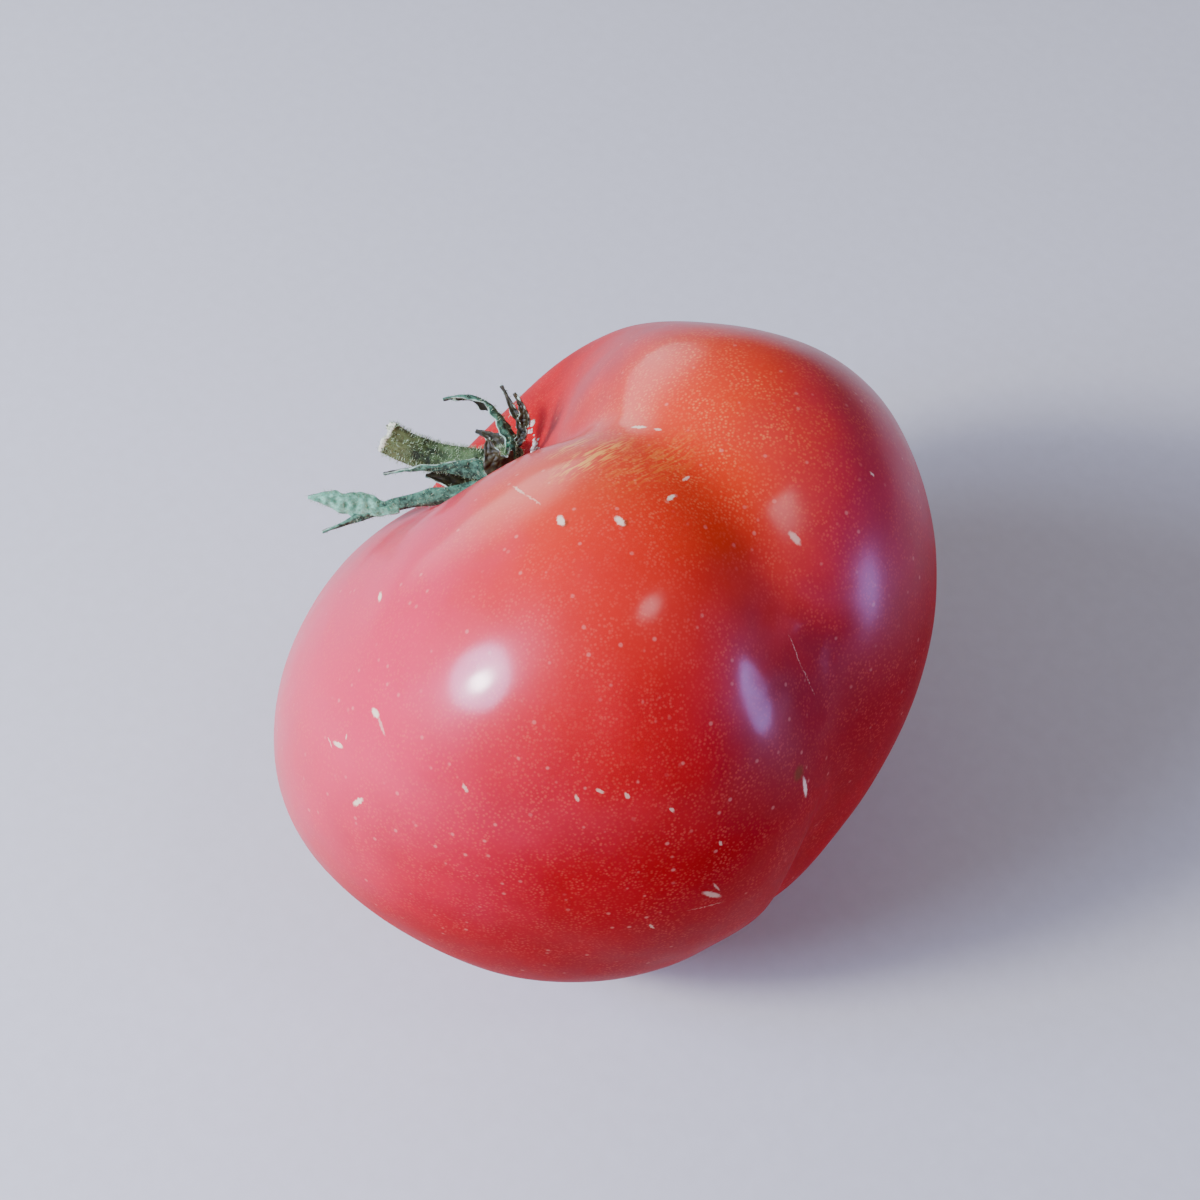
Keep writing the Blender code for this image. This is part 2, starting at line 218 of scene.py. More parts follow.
# Corky marks, scratches and a dry patch: both ends, half width in mm, strength.
SCARS = (((380, 594), (380, 599), 0.32, 1.0), ((374, 711), (377, 715), 0.42, 1.0),
         ((379, 719), (384, 733), 0.22, 0.4), ((335, 743), (341, 746), 0.28, 0.95),
         ((328, 737), (332, 747), 0.09, 0.6), ((347, 735), (346, 739), 0.12, 0.6),
         ((355, 804), (361, 800), 0.34, 0.95), ((464, 786), (466, 790), 0.26, 0.5),
         ((560, 518), (562, 523), 0.42, 1.0), ((618, 519), (622, 523), 0.42, 1.0),
         ((669, 499), (673, 496), 0.28, 1.0), ((634, 427), (644, 427), 0.26, 1.0),
         ((655, 429), (660, 430), 0.18, 0.7), ((684, 480), (688, 477), 0.2, 0.7),
         ((871, 473), (873, 475), 0.2, 0.9), ((514, 487), (524, 494), 0.16, 0.7),
         ((526, 495), (540, 504), 0.11, 0.45), ((792, 535), (798, 542), 0.4, 0.5),
         ((790, 637), (800, 664), 0.08, 0.5), ((801, 666), (814, 694), 0.08, 0.35),
         ((804, 780), (806, 794), 0.34, 0.9), ((706, 893), (718, 896), 0.4, 0.5),
         ((690, 910), (722, 902), 0.1, 0.3), ((714, 884), (719, 890), 0.14, 0.4),
         ((576, 796), (578, 800), 0.2, 0.5), ((598, 790), (602, 792), 0.22, 0.5),
         ((626, 794), (628, 797), 0.22, 0.5), ((671, 809), (673, 811), 0.2, 0.5),
         ((650, 925), (653, 928), 0.18, 0.5), ((720, 842), (721, 845), 0.16, 0.5))
BROWN_RIMS = (((564, 523), 0.5), ((624, 523), 0.5), ((799, 773), 0.9))     # middle, radius in mm
DULL_VALLEY = (((798, 600), 5.0), ((814, 690), 6.0), ((806, 642), 6.5))
RUBBED_CHEEK = (872, 578)
PIT_DEPTH = 2.7 * MM
PIT_REACH = 3.4 * MM
# The ways along which the bloom of wax thickens, up and to the airy cheek, and the way between the
# two towards the light, away from which the red is painted darker as shade.
UP = (0.0, 0.0, 1.0)
TO_CHEEK = (-0.56, -0.63, 0.53)
TO_LIGHT = (-0.34, -0.38, 1.32)
THIN_BLOOM = 0.04
FULL_WAX = 0.66                       # coat weight where the bloom is thickest
FULL_SHINE = 0.5
SPECK_SHARE = 0.25
GOLD_SHARE = 0.32
PALE_SHARE = 0.28


# Tomato skin: a clear, waxy cuticle over red flesh, grown. It gives a satin, slightly hazy
# shine, an orange shoulder near the stem, close pale mottling all over and short golden strokes
# near the stem. The corky marks and scratches are where the fruit has been rubbed. Its red also
# carries painted shade, darker low down, on the right cheek and in the valley, and painted sheen,
# pinker on the left and right cheeks.
def tomato_skin():
    material, tree, shader = new_material("waxy_tomato_skin")
    coords = add(tree, "ShaderNodeTexCoord").outputs["Object"]

    def noise_of(size, detail=2.0, rough=0.5):
        """Noise with lumps of about this size in mm."""
        return add(tree, "ShaderNodeTexNoise", (("Vector", coords), ("Scale", 1.0 / (size * MM)),
                                                ("Detail", detail), ("Roughness", rough)))

    def shifted(size, reach):
        """The same coordinates pushed about by noise, for uneven rims."""
        colours = noise_of(size, 3.0).outputs["Color"]
        shift = add(tree, "ShaderNodeVectorMath", ((0, colours), (1, (0.5, 0.5, 0.5))),
                    operation='SUBTRACT').outputs[0]
        shift = add(tree, "ShaderNodeVectorMath", ((0, shift), ("Scale", reach)),
                    operation='SCALE').outputs[0]
        return add(tree, "ShaderNodeVectorMath", ((0, coords), (1, shift)),
                   operation='ADD').outputs[0]

    warped = shifted(11.11, 18.0 * MM)
    jagged = shifted(0.3846, 0.5 * MM)

    def zone(pixel, across, soft):
        return patch(tree, warped, on_skin(pixel)[0], [across * MM] * 3, soft=soft)

    cloudy = noise_of(4.545, 4.0).outputs["Fac"]
    skin = blend_colour(tree, ramp(tree, cloudy, 0.35, 0.65), colour("#b00012"), colour("#c00418"))
    # the listed tones: the skin's own colours, and also painted shade and painted sheen
    for pixel, across, soft, code, strength in SKIN_TONES_SHADE_AND_SHEEN:
        share = maths(tree, 'MULTIPLY', zone(pixel, across, soft), strength)
        skin = blend_colour(tree, share, skin, colour(code))

    # the bloom of wax is thickest on top and on the cheek that was turned to the air, and thin low
    # down;
    # the red is painted darker low down, away from the light, as painted shade
    def along(way):
        offset = add(tree, "ShaderNodeVectorMath", ((0, coords), (1, FRUIT_CENTRE)),
                     operation='SUBTRACT').outputs[0]
        return add(tree, "ShaderNodeVectorMath", ((0, offset), (1, way)),
                   operation='DOT_PRODUCT').outputs["Value"]

    off_top = ramp(tree, along(UP), 10.0 * MM, 40.0 * MM, 1.0, 0.0)
    off_cheek = ramp(tree, along(TO_CHEEK), 21.0 * MM, 47.0 * MM, 1.0, 0.0)
    bare = maths(tree, 'MULTIPLY', maths(tree, 'MULTIPLY', off_top, off_cheek), 1.0 - THIN_BLOOM)
    bloom = maths(tree, 'SUBTRACT', 1.0, bare)
    painted_shade_low = ramp(tree, along(TO_LIGHT), -15.0 * MM, 18.0 * MM, 0.5, 0.0)
    skin = blend_colour(tree, painted_shade_low, skin, colour("#800008"))

    # close mottling under the cuticle: specks of about 0.4 mm, more golden on the far shoulder
    specks = add(tree, "ShaderNodeTexVoronoi", (("Vector", coords), ("Scale", 1.0 / (0.4348 * MM))))
    speck = ramp(tree, specks.outputs["Distance"], 0.55, 0.15)
    crowd = ramp(tree, noise_of(3.846, 3.0, 0.7).outputs["Fac"], 0.35, 0.7, 0.25, 1.0)
    speck = maths(tree, 'MULTIPLY', speck, crowd)
    skin = blend_colour(tree, maths(tree, 'MULTIPLY', speck, SPECK_SHARE), skin, colour("#f5684c"))
    gold = maths(tree, 'MULTIPLY', speck, zone(FAR_SHOULDER, 16.0, 0.7))
    skin = blend_colour(tree, maths(tree, 'MULTIPLY', gold, GOLD_SHARE), skin, colour("#f59a48"))

    # a few bigger pale dots, every 2 mm or so
    dots = add(tree, "ShaderNodeTexVoronoi", (("Vector", coords), ("Scale", 1.0 / (1.613 * MM))))
    chosen = add(tree, "ShaderNodeSeparateColor", ((0, dots.outputs["Color"]),)).outputs[1]
    pale = maths(tree, 'MULTIPLY', ramp(tree, dots.outputs["Distance"], 0.22, 0.08),
                 ramp(tree, chosen, 0.6, 0.9))
    skin = blend_colour(tree, maths(tree, 'MULTIPLY', pale, PALE_SHARE), skin, colour("#f8a890"))

    # golden strokes, about 0.4 by 2.3 mm, in a slanting patch beside the stem
    start, end = [on_skin(pixel)[0] for pixel in STROKE_SLANT]
    slant = (end - start).to_track_quat('X', 'Z').to_euler()
    drawn_out = add(tree, "ShaderNodeMapping", (("Vector", coords), ("Location", start),
                                                ("Rotation", slant), ("Scale", (6.0, 1.0, 1.0))),
                    vector_type='TEXTURE')
    stroke = add(tree, "ShaderNodeTexNoise", (("Vector", drawn_out.outputs[0]),
                                              ("Scale", 1.0 / (0.3846 * MM)),
                                              ("Detail", 2.0))).outputs["Fac"]
    for pixel, size, strength in STROKE_FIELDS:
        where = patch(tree, jagged, on_skin(pixel)[0], [side * MM for side in size],
                      slant, soft=0.6)
        mark = maths(tree, 'MULTIPLY', ramp(tree, stroke, 0.46, 0.60), where)
        skin = blend_colour(tree, maths(tree, 'MULTIPLY', mark, strength), skin,
                            colour("#f6a83c"))

    scars = None
    for start, end, width, strength in SCARS:
        first, last = on_skin(start)[0], on_skin(end)[0]
        course = last - first
        half = 0.5 * course.length + width * MM
        mark = patch(tree, jagged, (first + last) / 2.0, (half, width * MM, width * MM),
                     course.to_track_quat('X', 'Z').to_euler(), 0.35)
        mark = maths(tree, 'MULTIPLY', mark, strength)
        scars = mark if scars is None else maths(tree, 'MAXIMUM', scars, mark)
    skin = blend_colour(tree, scars, skin, colour("#f3d2ae"))

    # the brown rims of the two biggest marks, and the dark half of the streak in the valley
    for pixel, size in BROWN_RIMS:
        rim = patch(tree, jagged, on_skin(pixel)[0], [size * MM] * 3, soft=0.5)
        rim = maths(tree, 'MULTIPLY', rim, maths(tree, 'SUBTRACT', 0.75, scars))
        skin = blend_colour(tree, rim, skin, colour("#6e3a12"))

    # cork in the pit, where the neck of the calyx is fixed
    pit = patch(tree, jagged, own_to_row @ (HUB_MIDDLE - Vector((0.0, 0.0, PIT_DEPTH))),
                [PIT_REACH] * 3, soft=0.25)
    skin = blend_colour(tree, maths(tree, 'MULTIPLY', pit, 0.8), skin, colour("#c9ab86"))
    tree.links.new(skin, shader.inputs["Base Color"])

    # satin wax: uneven, dull in the valley and matt on corky places
    dull = scars
    for pixel, across in DULL_VALLEY:
        dull = maths(tree, 'MAXIMUM', dull, zone(pixel, across, 0.6))
    haze = ramp(tree, cloudy, 0.3, 0.7, 0.40, 0.47)
    haze = maths(tree, 'ADD', haze, maths(tree, 'MULTIPLY', dull, 0.3))
    tree.links.new(haze, shader.inputs["Roughness"])
    wax = maths(tree, 'MULTIPLY', maths(tree, 'SUBTRACT', 1.0, dull),
                maths(tree, 'MULTIPLY', bloom, FULL_WAX))
    tree.links.new(wax, shader.inputs["Coat Weight"])
    rubbed = patch(tree, coords, on_skin(RUBBED_CHEEK)[0], [9.0 * MM] * 3, soft=0.95)
    tree.links.new(maths(tree, 'ADD', 0.15, maths(tree, 'MULTIPLY', rubbed, 0.13)),
                   shader.inputs["Coat Roughness"])
    tree.links.new(maths(tree, 'MULTIPLY', bloom, FULL_SHINE), shader.inputs["Specular IOR Level"])
    shader.inputs["Specular Tint"].default_value = colour("#ffb4c8")

    peel = noise_of(0.7692).outputs["Fac"]
    relief = maths(tree, 'ADD', maths(tree, 'MULTIPLY', peel, 0.2),
                   maths(tree, 'MULTIPLY', speck, 0.2))
    relief = maths(tree, 'ADD', relief, maths(tree, 'MULTIPLY', scars, 0.8))
    bump = add(tree, "ShaderNodeBump", (("Height", relief), ("Strength", 0.12),
                                        ("Distance", 0.12 * MM)))
    tree.links.new(bump.outputs[0], shader.inputs["Normal"])
    shader.inputs["Subsurface Weight"].default_value = 0.1
    shader.inputs["Subsurface Radius"].default_value = (1.0, 0.2, 0.1)
    shader.inputs["Subsurface Scale"].default_value = 2.0 * MM
    return material


fruit.data.materials.clear()
fruit.data.materials.append(tomato_skin())
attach(fruit, "root")
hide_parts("fruit")


# Stem: the stub of stalk that came away with the fruit, bent over the lower lobe's shoulder. It is
# a round green stalk with faint ribs, widening and browner towards its end, where it tore off and
# left a ragged pale lip round its sunken pith.
HUB_TILT = math.radians(50.0)
HUB_TOP = 0.95 * MM                   # over the hub's middle
STEM_RADIUS = 1.85 * MM
STEM_BEND = ((4.5, 0.0, 2.7), (9.0, 0.6, 7.4), (11.1, 1.2, 12.9))     # mm from the hub's middle
STEM_SIDES = 48
STEM_ROWS = 60
# Parts of the radius: two sets of ribs, two sizes of lump, how much it widens, the flared lip.
RIB, FINE_RIB = 0.04, 0.02
LUMP, FINE_LUMP = 0.09, 0.03
WIDENING = 0.14
LIP, RAGGED_LIP = 0.07, 0.10
TORN_SLOPE, TORN_FIBRE = 0.16, 0.25
TORN_FROM = 0.95                      # share of the length where the torn end begins
# The torn face: inward and outward steps, as parts of the radius, to its lip, pith and middle.
TORN_STEPS = ((0.16, 0.12), (0.20, -0.45), (0.45, -0.15))
hub_turn = Matrix.Rotation(HUB_TILT, 3, 'Y')


def bezier(course, share):
    """Place and direction on a curve from the first point to the last."""
    rest = 1.0 - share
    at = (rest ** 3 * course[0] + 3.0 * rest ** 2 * share * course[1]
          + 3.0 * rest * share ** 2 * course[2] + share ** 3 * course[3])
    along = (rest ** 2 * (course[1] - course[0]) + 2.0 * rest * share * (course[2] - course[1])
             + share ** 2 * (course[3] - course[2]))
    return at, along.normalized()


def place_own(thing):
    """Moves a mesh made round the hub's middle, in the fruit's own frame, to its place."""
    thing.data.transform(own_to_row @ Matrix.Translation(HUB_MIDDLE))
    thing.data.update()


def stem_outline(share, angle):
    """Radius, and how far the torn end stands out along the stalk."""
    round_it = Vector((1.6 * math.cos(angle), 1.6 * math.sin(angle), 6.0 * share))
    ribs = RIB * math.cos(5.0 * angle) + FINE_RIB * math.cos(9.0 * angle + 4.0 * share)
    lumps = LUMP * noise.noise(round_it) + FINE_LUMP * noise.noise(round_it * 3.0)
    radius = STEM_RADIUS * (1.0 + ribs + lumps + WIDENING * share ** 1.5)
    end = max(0.0, (share - TORN_FROM) / (1.0 - TORN_FROM))
    ragged = noise.noise(Vector((2.5 * math.cos(angle), 2.5 * math.sin(angle), 9.0)))
    radius += STEM_RADIUS * end * (LIP + RAGGED_LIP * ragged)
    return radius, STEM_RADIUS * end * (TORN_SLOPE * math.sin(2.0 * angle) + TORN_FIBRE * ragged)


stem_course = [hub_turn @ Vector((0.0, 0.0, HUB_TOP))] + [Vector(point) * MM for point in STEM_BEND]
stem_end, stem_end_along = bezier(stem_course, 1.0)
deselect()
bpy.ops.mesh.primitive_cylinder_add(vertices=STEM_SIDES, radius=1.0, depth=1.0, end_fill_type='NGON',
                                    location=(0.0, 0.0, 0.0))
stem = bpy.context.object
stem.name = "stem_stalk"
bm = bmesh.new()
bm.from_mesh(stem.data)
sides = [edge for edge in bm.edges if abs(edge.verts[0].co.z - edge.verts[1].co.z) > 0.5]
bmesh.ops.subdivide_edges(bm, edges=sides, cuts=STEM_ROWS - 2)
for vert in bm.verts:
    share = vert.co.z + 0.5
    angle = math.atan2(vert.co.y, vert.co.x)
    at, along = bezier(stem_course, share)
    side = Vector((0.0, 1.0, 0.0)).cross(along).normalized()
    front = along.cross(side)
    radius, torn = stem_outline(share, angle)
    vert.co = at + (side * math.cos(angle) + front * math.sin(angle)) * radius + along * torn
end_face = min((face for face in bm.faces if len(face.verts) > 4),
               key=lambda face: (face.calc_center_median() - stem_end).length)
for inward, deeper in TORN_STEPS:
    bmesh.ops.inset_region(bm, faces=[end_face], thickness=inward * STEM_RADIUS)
    for vert in end_face.verts:
        bumpy = 0.12 * noise.noise(vert.co / (0.5 * MM))
        vert.co += stem_end_along * ((deeper + bumpy) * STEM_RADIUS)
bmesh.ops.poke(bm, faces=[end_face])
bmesh.ops.recalc_face_normals(bm, faces=bm.faces)
bm.to_mesh(stem.data)
bm.free()
stem.data.shade_smooth()
place_own(stem)


BROWN_REACH = 4.4 * MM
FIBRE = 1.3 * MM
TORN_MIDDLE = 0.25 * MM               # of the pale fibre, past the end of the stalk's course
TORN_HALVES = (0.62 * MM, 4.0 * MM, 4.0 * MM)


# Green stalk, grown and half dried: a dull, dark skin with grey-green blotches of about 1 mm,
# browner towards the end, and dry cream-white fibre where it tore.
def stalk_material():
    material, tree, shader = new_material("half_dried_green_stalk")
    coords = add(tree, "ShaderNodeTexCoord").outputs["Object"]
    blotch = add(tree, "ShaderNodeTexNoise", (("Vector", coords), ("Scale", 1.0 / (1.25 * MM)),
                                              ("Detail", 4.0), ("Roughness", 0.6))).outputs["Fac"]
    green = blend_colour(tree, ramp(tree, blotch, 0.36, 0.62), colour("#17230e"), colour("#4a6032"))
    wide = add(tree, "ShaderNodeTexNoise", (
        ("Vector", coords), ("Scale", 1.0 / (3.846 * MM)))).outputs["Fac"]
    green = blend_colour(tree, maths(tree, 'MULTIPLY', ramp(tree, wide, 0.45, 0.65), 0.5), green,
                         colour("#72905c"))
    tip = own_to_row @ (HUB_MIDDLE + stem_end)
    end = patch(tree, coords, tip, [BROWN_REACH] * 3, soft=0.6)
    brown = maths(tree, 'MULTIPLY', end, ramp(tree, wide, 0.35, 0.6, 0.1, 0.5))
    green = blend_colour(tree, brown, green, colour("#645a24"))
    fibre = add(tree, "ShaderNodeTexNoise", (("Vector", coords), ("Scale", 1.0 / (0.4545 * MM)),
                                             ("Detail", 3.0))).outputs["Color"]
    shift = add(tree, "ShaderNodeVectorMath", ((0, fibre), ("Scale", FIBRE)),
                operation='SCALE').outputs[0]
    jagged = add(tree, "ShaderNodeVectorMath", ((0, coords), (1, shift)), operation='ADD').outputs[0]
    outward = own_to_row.to_3x3() @ stem_end_along
    middle = tip + outward * TORN_MIDDLE + Vector([0.5 * FIBRE] * 3)
    torn = patch(tree, jagged, middle, TORN_HALVES, outward.to_track_quat('X', 'Z').to_euler(),
                 soft=0.2)
    green = blend_colour(tree, torn, green, colour("#d9d6b4"))
    tree.links.new(green, shader.inputs["Base Color"])
    shader.inputs["Roughness"].default_value = 0.78
    bump = add(tree, "ShaderNodeBump", (("Height", blotch), ("Strength", 0.7),
                                        ("Distance", 0.25 * MM)))
    tree.links.new(bump.outputs[0], shader.inputs["Normal"])
    return material


stem.data.materials.clear()
stem.data.materials.append(stalk_material())
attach(stem, "root")
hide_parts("stem")


# Calyx: the ring of small leaves under the flower, dried and curled, on a short neck. Each is a
# thin withered blade grown on the hub. The outer face is grey-green with a felt of hairs, the inner
# face is smooth dark brown, painted near black as the shade inside the curl, and the thin edge is
# bleached.
SEPAL_ROOT = 2.4 * MM
SEPAL_THICKNESS = 0.34 * MM
SEPAL_ROWS = 40
SEPAL_COLUMNS = 12
SEPAL_NARROWEST = 0.2 * MM            # half width at a tip
CRINKLE = 0.28 * MM
PLEAT = 0.05 * MM
ABOVE_ALL = 40.0 * MM                 # over the hub, clear of the whole fruit
skin_own = BVHTree.FromPolygons([own_to_row.inverted() @ vert.co for vert in fruit.data.vertices],
                                [tuple(face.vertices) for face in fruit.data.polygons])


# Dried leaf, grown and withered: matt, in two tones, with patches of about 2 mm and a felt of
# about 0.6 mm. It gives the eye a dusty, crumpled blade.
def leaf_material(name, dark, light, roughness):
    material, tree, shader = new_material(name)
    coords = add(tree, "ShaderNodeTexCoord").outputs["Object"]
    felt = add(tree, "ShaderNodeTexNoise", (("Vector", coords), ("Scale", 1.0 / (0.625 * MM)),
                                            ("Detail", 4.0), ("Roughness", 0.65))).outputs["Fac"]
    tone = add(tree, "ShaderNodeTexNoise", (("Vector", coords), ("Scale", 1.0 / (2.381 * MM)),
                                            ("Detail", 2.0))).outputs["Fac"]
    share = maths(tree, 'ADD', maths(tree, 'MULTIPLY', felt, 0.75),
                  maths(tree, 'MULTIPLY', tone, 0.25))
    leaf = blend_colour(tree, ramp(tree, share, 0.33, 0.66), colour(dark), colour(light))
    tree.links.new(leaf, shader.inputs["Base Color"])
    shader.inputs["Roughness"].default_value = roughness
    bump = add(tree, "ShaderNodeBump", (("Height", felt), ("Strength", 0.6),
                                        ("Distance", 0.15 * MM)))
    tree.links.new(bump.outputs[0], shader.inputs["Normal"])
    return material


outer_leaf = leaf_material("withered_leaf_outside", "#1b3023", "#629c7a", 0.85)
# inner faces: dark brown, painted near black as painted shade inside the curled blades
inner_leaf_and_shade = leaf_material("withered_leaf_inside_and_shade", "#100f04", "#39330e", 0.6)
mint_leaf = leaf_material("smooth_grey_green_leaf", "#4a8766", "#8fd0aa", 0.75)
leaf_edge = leaf_material("bleached_leaf_edge", "#7d9a80", "#c4dcc4", 0.8)


def hub_rim(azimuth):
    azimuth = math.radians(azimuth)
    return hub_turn @ (Vector((math.cos(azimuth), math.sin(azimuth), 0.0)) * SEPAL_ROOT)


def lifted(at, clearance):
    """The same place, or straight above it where it would touch the skin."""
    above = HUB_MIDDLE + Vector((at.x, at.y, ABOVE_ALL))
    hit = skin_own.ray_cast(above, Vector((0.0, 0.0, -1.0)))[0]
    if hit is not None and at.z < hit.z - HUB_MIDDLE.z + clearance:
        return Vector((at.x, at.y, hit.z - HUB_MIDDLE.z + clearance))
    return at


def sepal(name, root, points, width, facing, dish=0.5, twist=0.0, root_share=0.8, belly=0.3,
          curl=0.0, wave=0.22, taper=2.6, clearance=0.7, outside=outer_leaf, seed=1):
    """A thin crinkled blade on a bent course, its edges waved and rolled to the side it faces."""
    course = [root] + [Vector(point) * MM for point in points]
    facing = Vector(facing).normalized()
    deselect()
    bpy.ops.mesh.primitive_grid_add(x_subdivisions=SEPAL_COLUMNS, y_subdivisions=SEPAL_ROWS,
                                    size=1.0)
    blade = bpy.context.object
    blade.name = name
    half = 0.5 * width * MM
    for number, vert in enumerate(blade.data.vertices):
        row, column = divmod(number, SEPAL_COLUMNS + 1)
        share = row / SEPAL_ROWS
        across = 2.0 * column / SEPAL_COLUMNS - 1.0
        at, along = bezier(course, share)
        at = lifted(at, clearance * MM)
        side = facing.cross(along).normalized()
        side = Matrix.Rotation(math.radians(twist) * share, 3, along) @ side
        inner = along.cross(side)
        opening = root_share + (1.0 - root_share) * min(1.0, share / belly)
        edge = 1.0 + wave * noise.noise(Vector((11.0 * share, 3.0 * (across > 0.0), 2.7 * seed)))
        reach = max(SEPAL_NARROWEST, half * opening * (1.0 - share ** taper) * edge)
        bend = 1.5 * (dish + curl * share)
        roll = across * bend * (1.0 + 0.5 * noise.noise(Vector((6.0 * share, across, 1.3 * seed))))
        crinkle = (CRINKLE * noise.noise(Vector((16.0 * share, 2.5 * across, 3.0 * seed)))
                   + PLEAT * math.cos(8.0 * across))
        vert.co = (at + side * (reach * math.sin(roll) / bend)
                   + inner * (reach * (1.0 - math.cos(roll)) / bend + crinkle))
    for material in (outside, inner_leaf_and_shade, leaf_edge):
        blade.data.materials.append(material)
    finish_modifier(blade, 'SOLIDIFY', thickness=SEPAL_THICKNESS, offset=0.0, material_offset=1,
                    material_offset_rim=2)
    finish_modifier(blade, 'SUBSURF', levels=1, render_levels=1)
    blade.data.shade_smooth()
    place_own(blade)
    return blade


def fork(root, points, share):
    """The place partway along another blade's course, where a second tip leaves it."""
    return bezier([root] + [Vector(point) * MM for point in points], share)[0]


# Courses in mm from the hub's middle, after the root. The forked sepals share one with their tips.
long_points = ((8.0, 3.0, 1.2), (14.0, 4.0, 4.6), (25.3, 4.5, 8.2))
pair_points = ((-4.2, 0.6, 1.4), (-3.6, 0.8, 5.0), (-4.8, 1.0, 8.8))
blades = [
    sepal("sepal_long", hub_rim(20.0), long_points, 2.4, (0.0, -1.0, -0.7), dish=0.7, twist=-100.0,
          taper=5.0, clearance=1.0, seed=1),
    sepal("sepal_long_tip", fork(hub_rim(20.0), long_points, 0.66),
          ((19.6, 4.8, 7.6), (21.2, 5.4, 10.2), (23.8, 5.0, 12.8)), 3.6, (0.4, -1.0, -0.2),
          root_share=0.5, belly=0.4, dish=0.3, twist=-50.0, curl=1.0, taper=5.0,
          outside=mint_leaf, seed=2),
    sepal("sepal_thin", hub_rim(48.0), ((4.6, 4.4, 2.0), (9.4, 4.8, 6.6), (14.4, 4.6, 9.1)), 4.4,
          (0.3, -1.0, -0.4), dish=0.4, twist=-130.0, root_share=1.0, taper=0.8, seed=3),
    sepal("sepal_broad", hub_rim(88.0), ((3.2, 4.2, 0.2), (2.2, 4.8, 2.2), (0.9, 4.0, 4.2)), 4.0,
          (0.4, 1.0, -0.2), dish=0.4, seed=4),
    sepal("sepal_dark", hub_rim(176.0), pair_points, 1.7, (0.6, 1.0, 0.0), dish=0.5, seed=5),
    sepal("sepal_dark_tip", fork(hub_rim(176.0), pair_points, 0.32),
          ((-4.8, 1.9, 2.8), (-5.1, 2.4, 4.6), (-5.4, 2.6, 6.8)), 1.7, (0.6, 1.0, 0.0),
          root_share=0.5, dish=0.5, seed=6),
    sepal("sepal_curled", hub_rim(204.0), ((-2.6, -1.4, 6.0), (-3.2, -1.0, 10.0), (2.4, -0.6, 12.4)),
          3.2, (1.0, -0.8, -0.2), dish=0.5, twist=80.0, curl=0.6, root_share=1.2, seed=7),
    sepal("sepal_hidden", hub_rim(262.0), ((-1.0, -4.4, 2.0), (0.0, -6.6, 4.4), (1.6, -8.0, 7.2)),
          3.0, (0.2, 1.0, 1.0), dish=0.5, seed=8),
    sepal("sepal_under", hub_rim(350.0), ((5.2, 0.2, -0.8), (7.6, 1.4, 3.0), (10.4, 1.7, 5.8)),
          4.2, (-0.4, 1.0, 0.5), dish=0.25, root_share=0.5, taper=4.0, seed=9),
]
for blade in blades:
    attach(blade, "root")
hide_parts("calyx")

# The hub that carries the sepals: a small withered cone of the same leaf.
HUB_FOOT, HUB_RADIUS, HUB_HEIGHT, HUB_EDGE = 1.4 * MM, 2.75 * MM, 1.8 * MM, 0.35 * MM
HUB_WITHERED, HUB_WRINKLE = 0.2 * MM, 0.8 * MM
deselect()
bpy.ops.mesh.primitive_cone_add(vertices=48, radius1=HUB_FOOT, radius2=HUB_RADIUS, depth=HUB_HEIGHT)
hub = bpy.context.object
hub.name = "calyx_hub"
bpy.ops.object.mode_set(mode='EDIT')
bpy.ops.mesh.select_all(action='SELECT')
bpy.ops.mesh.bevel(offset=HUB_EDGE, segments=3)
bpy.ops.object.mode_set(mode='OBJECT')
hub.data.transform(hub_turn.to_4x4())
for vert, normal in zip(hub.data.vertices, [v.normal.copy() for v in hub.data.vertices]):
    vert.co += normal * (HUB_WITHERED * noise.noise(vert.co / HUB_WRINKLE))
hub.data.shade_smooth()
place_own(hub)

# Its short neck, down into the cork of the pit.
NECK_RADIUS, NECK_LENGTH, NECK_EDGE = 1.25 * MM, 3.2 * MM, 0.2 * MM
deselect()
bpy.ops.mesh.primitive_cylinder_add(vertices=32, radius=NECK_RADIUS, depth=NECK_LENGTH,
                                    location=(0.0, 0.0, -0.5 * NECK_LENGTH))
neck = bpy.context.object
neck.name = "calyx_neck"
bpy.ops.object.transform_apply(location=True)
bpy.ops.object.mode_set(mode='EDIT')
bpy.ops.mesh.select_all(action='SELECT')
bpy.ops.mesh.bevel(offset=NECK_EDGE, segments=2)
bpy.ops.object.mode_set(mode='OBJECT')
neck.data.shade_smooth()
place_own(neck)
for core in (hub, neck):
    core.data.materials.clear()
    core.data.materials.append(outer_leaf)
    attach(core, "root")


# Cork: dry pale crumbs of scar tissue on the skin beside the neck, grown there. Each is a small
# uneven lump sunk halfway into the skin.
# Middle in the picture, spread in pixels, count.
CRUMB_GROUPS = (((530, 424), (2.0, 3.5), 14), ((534, 444), (2.0, 4.5), 14))
CRUMB_RADII = (0.18, 0.42)            # mm
CRUMB_LUMP = 0.3 * MM


# Cork, grown and dried: a matt, crumbly cream brown with a grain of about 0.4 mm.
def cork_material():
    material, tree, shader = new_material("dry_cork")
    coords = add(tree, "ShaderNodeTexCoord").outputs["Object"]
    grain = add(tree, "ShaderNodeTexNoise", (("Vector", coords), ("Scale", 1.0 / (0.4167 * MM)),
                                             ("Detail", 3.0))).outputs["Fac"]
    cork = blend_colour(tree, ramp(tree, grain, 0.35, 0.65), colour("#a88f7c"), colour("#dccfc2"))
    tree.links.new(cork, shader.inputs["Base Color"])
    shader.inputs["Roughness"].default_value = 0.8
    return material


